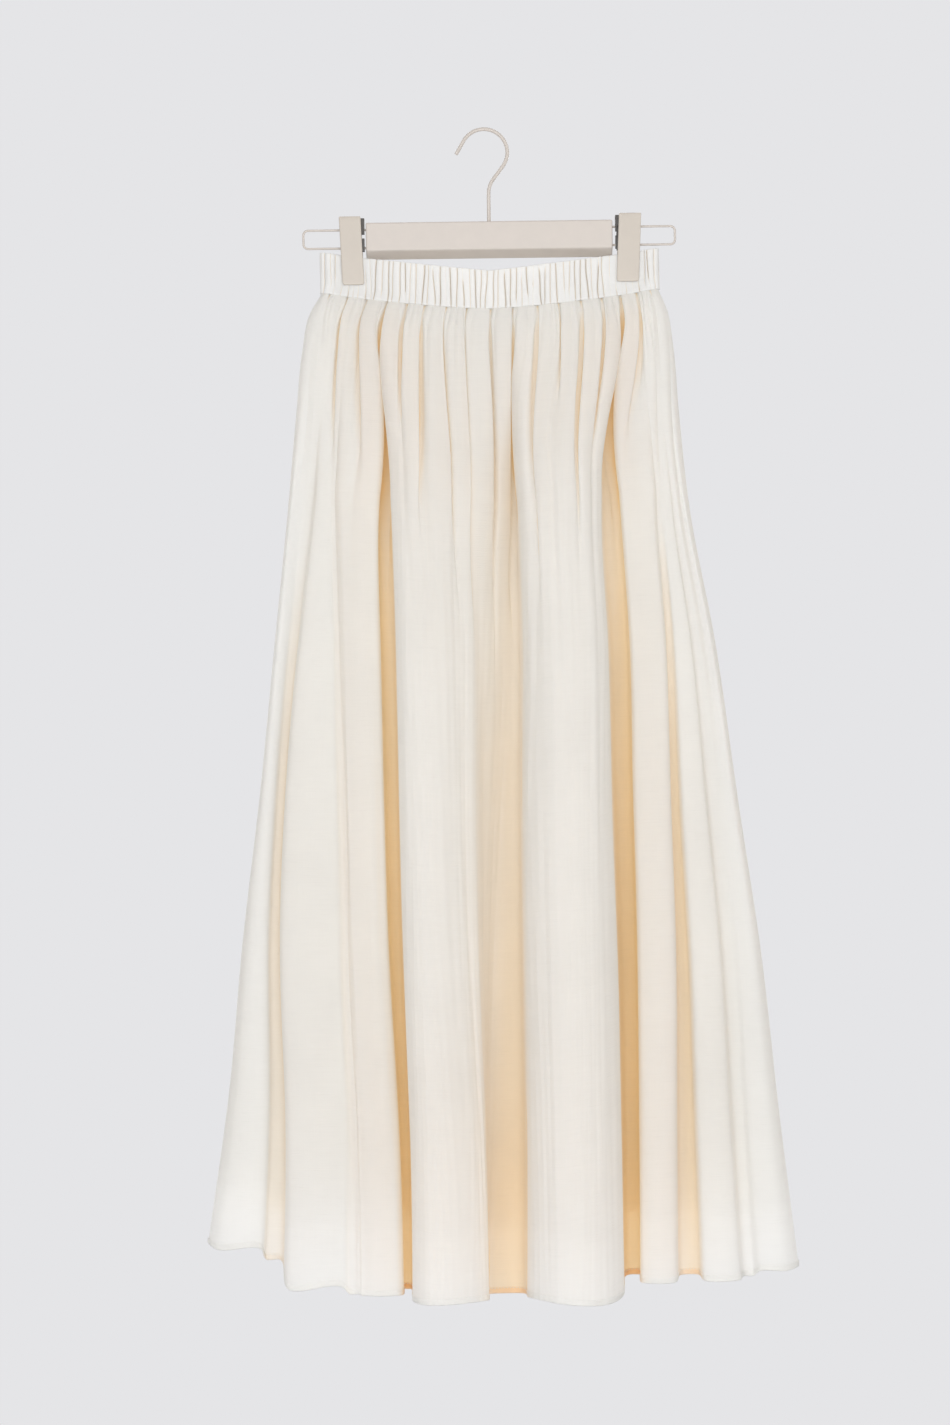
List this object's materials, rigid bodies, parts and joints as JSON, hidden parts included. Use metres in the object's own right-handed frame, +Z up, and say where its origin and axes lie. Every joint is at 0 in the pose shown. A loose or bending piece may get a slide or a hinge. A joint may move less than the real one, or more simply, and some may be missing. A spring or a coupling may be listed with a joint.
{
  "type": "maxi skirt on a clip hanger",
  "caption": "Long lined skirt gathered into an elastic waistband, hanging in soft folds from a bar hanger with two clips and a wire hook.",
  "frame": {"origin": "underside of the top of the hook, where the hanger rests on a rail or peg", "axes": "+Z up, +X to the right seen from the front, so the skirt's front faces -Y"},
  "size_m": [0.564, 0.1778, 1.107],
  "materials": {
    "ivory_cloth": "soft slubby weave with a slight sheen",
    "lining_cloth": "thin plain weave",
    "beige_paint": "satin paint"
  },
  "bodies": {
    "root": {"waistband": "ivory_cloth", "skirt_front": "ivory_cloth", "skirt_back": "ivory_cloth", "lining": "lining_cloth", "hanger_bar": "beige_paint", "hanger_hook": "beige_paint", "wire_loop_left": "beige_paint", "wire_loop_right": "beige_paint", "clip_left_front_plate": "beige_paint", "clip_left_back_plate": "beige_paint", "clip_left_spring": "beige_paint", "clip_right_front_plate": "beige_paint", "clip_right_back_plate": "beige_paint", "clip_right_spring": "beige_paint"}
  },
  "joints": []
}
